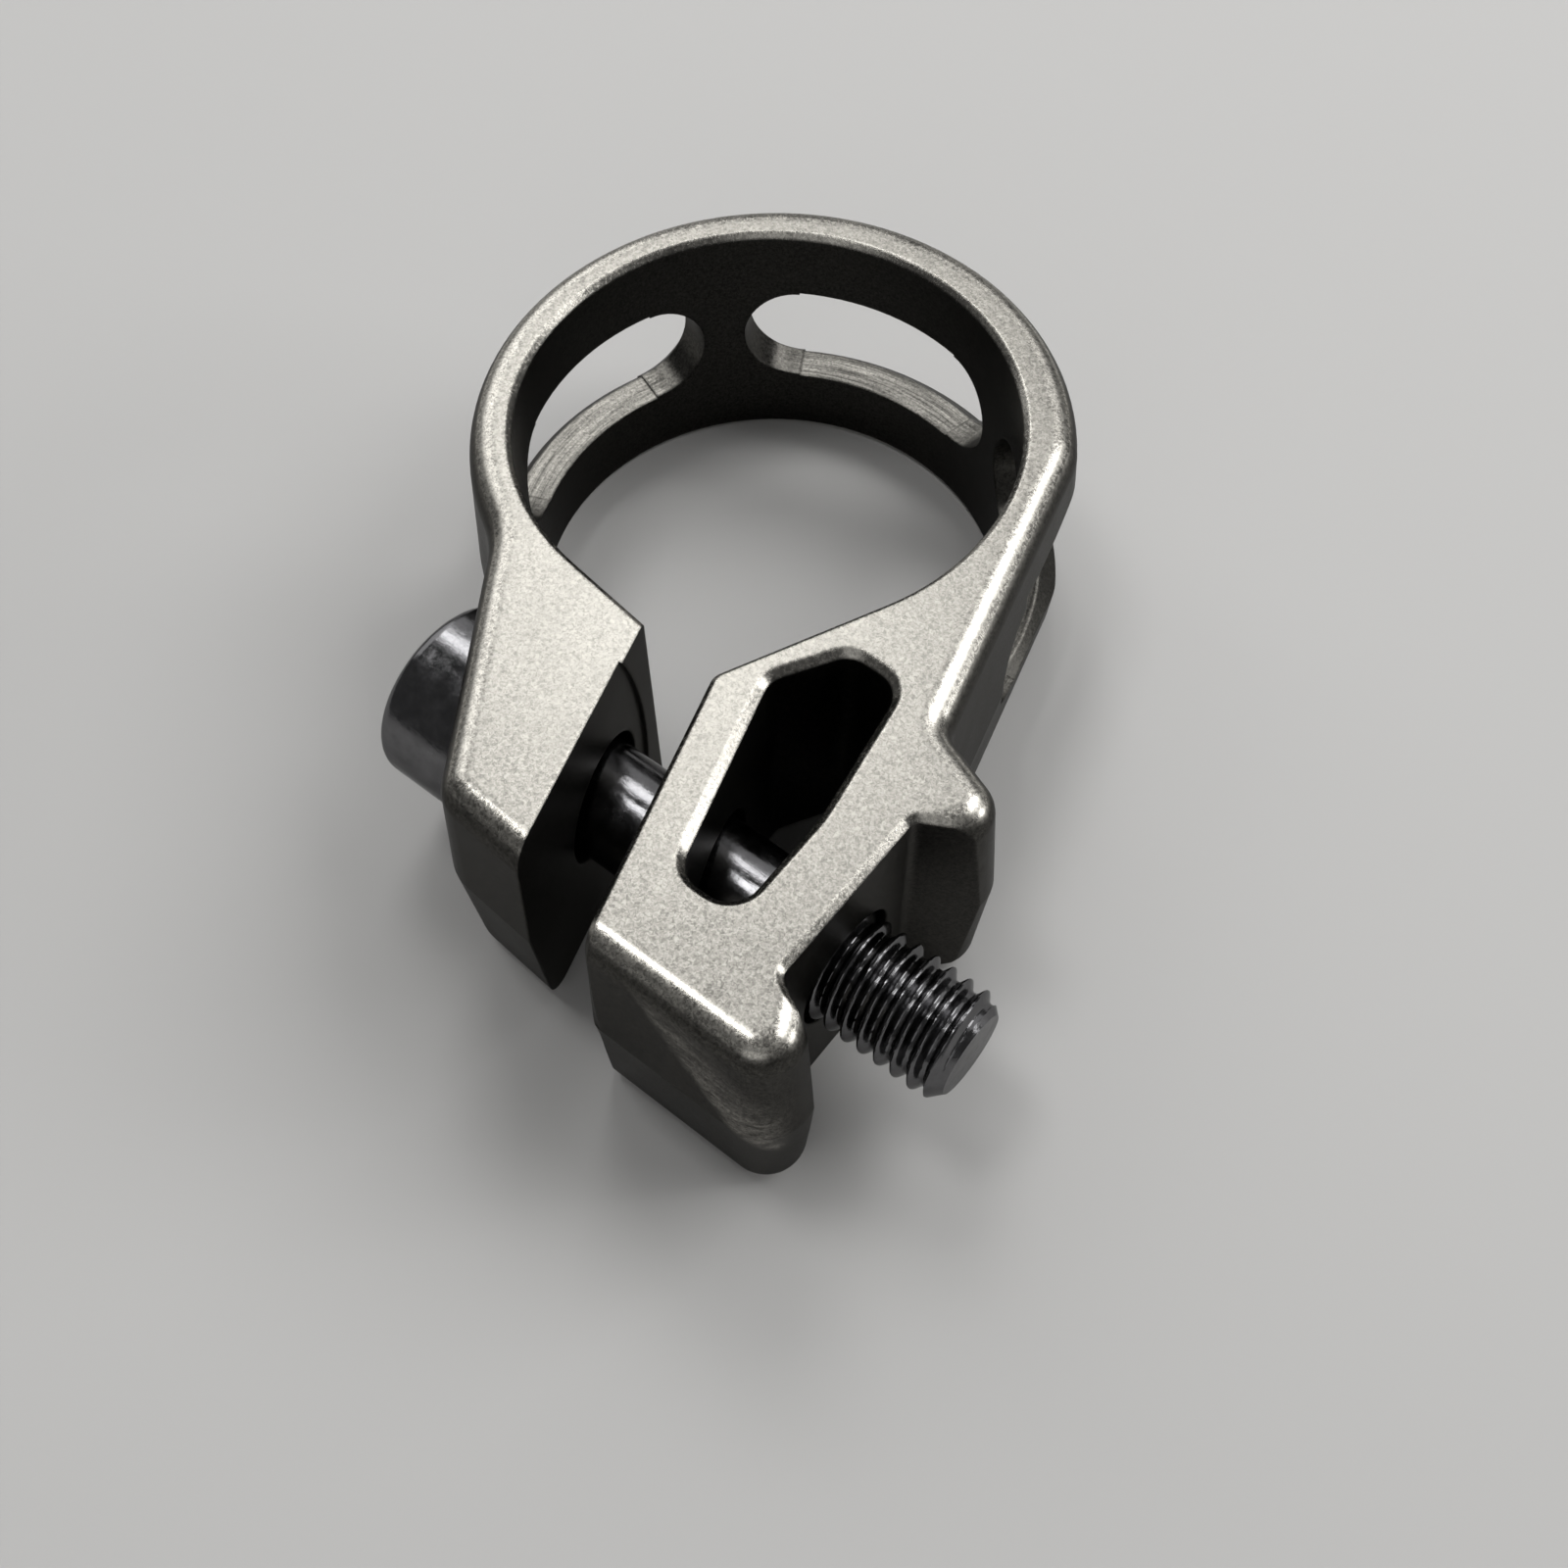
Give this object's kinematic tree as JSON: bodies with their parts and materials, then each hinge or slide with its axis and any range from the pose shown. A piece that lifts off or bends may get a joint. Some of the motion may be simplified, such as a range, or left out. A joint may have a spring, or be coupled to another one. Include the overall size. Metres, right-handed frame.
{
  "type": "shifter clamp",
  "caption": "Split ring handlebar clamp with windowed band, two ears, a seat between noses for a shifter body, and one socket-head clamp bolt.",
  "frame": {"origin": "on the axis of the bar bore, at half the band's width", "axes": "+Z along the bar bore, +X along the clamp bolt from its head to its tip, +Y from the ears towards the ring"},
  "size_m": [0.0362, 0.038, 0.0128],
  "materials": {
    "anodised_band": "fine blasted, dark anodised",
    "black_bolt": "blackened steel"
  },
  "bodies": {
    "band": {"clamp_band": "anodised_band"},
    "bolt": {"clamp_bolt": "black_bolt"}
  },
  "joints": [
    {"name": "bolt_turn", "type": "hinge", "parent": "band", "child": "bolt", "pos_m": [0, -0.0163, 0], "axis": [1, 0, 0], "continuous": true}
  ]
}
